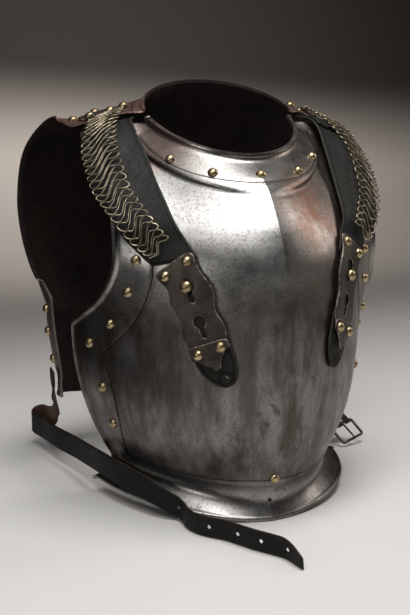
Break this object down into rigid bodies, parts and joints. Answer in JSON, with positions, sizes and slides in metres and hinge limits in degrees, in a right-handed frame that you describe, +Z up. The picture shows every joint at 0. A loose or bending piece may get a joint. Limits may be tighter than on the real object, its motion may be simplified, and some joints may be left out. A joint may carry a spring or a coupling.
{
  "type": "cuirass",
  "caption": "Ridged steel breastplate and backplate with brass rivets, joined by chained leather shoulder straps with keyhole plates, and an open waist belt with its buckle.",
  "frame": {"origin": "the middle of the bounding box's bottom face, on the floor the cuirass stands on", "axes": "+Z up, the wearer faces -Y, and the wearer's left side is +X"},
  "size_m": [0.4102, 0.4916, 0.4392],
  "materials": {
    "steel": "worn polish with brown patina and dark pits",
    "dark_steel": "darkened, rusty brown at the shoulders",
    "iron": "purplish brown with a bright worn edge",
    "brass": "dull, handled",
    "leather": "near-black, worn lighter at the edges"
  },
  "bodies": {
    "cuirass": {"breastplate": "steel", "backplate": "dark_steel", "breast_arm_rivet_right_1": "brass", "breast_arm_rivet_right_2": "brass", "breast_arm_rivet_right_3": "brass", "breast_arm_rivet_left_1": "brass", "breast_arm_rivet_left_2": "brass", "breast_arm_rivet_left_3": "brass", "breast_side_rivet_right_1": "brass", "breast_side_rivet_right_2": "brass", "breast_side_rivet_right_3": "brass", "breast_side_rivet_left_1": "brass", "breast_side_rivet_left_2": "brass", "breast_side_rivet_left_3": "brass", "back_side_rivet_right_1": "brass", "back_side_rivet_right_2": "brass", "back_side_rivet_right_3": "brass", "back_side_rivet_left_1": "brass", "back_side_rivet_left_2": "brass", "back_side_rivet_left_3": "brass", "breast_neck_rivet_1": "brass", "breast_neck_rivet_2": "brass", "breast_neck_rivet_3": "brass", "breast_neck_rivet_4": "brass", "breast_neck_rivet_5": "brass", "breast_waist_rivet": "brass", "back_shoulder_rivet_right_1": "brass", "back_shoulder_rivet_right_2": "brass", "back_shoulder_rivet_right_3": "brass", "back_shoulder_rivet_left_1": "brass", "back_shoulder_rivet_left_2": "brass", "back_shoulder_rivet_left_3": "brass", "leather_strap_right": "leather", "chain_right": "brass", "anchor_plate_right": "iron", "keyhole_plate_right": "iron", "clip_plate_right": "iron", "strap_tip_right": "leather", "strap_stud_right": "brass", "leather_strap_left": "leather", "chain_left": "brass", "anchor_plate_left": "iron", "keyhole_plate_left": "iron", "clip_plate_left": "iron", "strap_tip_left": "leather", "strap_stud_left": "brass", "belt_long": "leather", "belt_short": "leather"},
    "buckle_frame": {"buckle_frame": "iron"},
    "buckle_pin": {"buckle_pin": "iron"}
  },
  "joints": [
    {"name": "buckle_frame_hinge", "type": "hinge", "parent": "cuirass", "child": "buckle_frame", "pos_m": [0.17848, 0.09344, 0.02333], "axis": [-0.9324, -0.3008, -0.2005], "range_deg": [-8, 25]},
    {"name": "buckle_pin_hinge", "type": "hinge", "parent": "buckle_frame", "child": "buckle_pin", "pos_m": [0.17848, 0.09344, 0.02333], "axis": [-0.9324, -0.3008, -0.2005], "range_deg": [0, 60]}
  ]
}
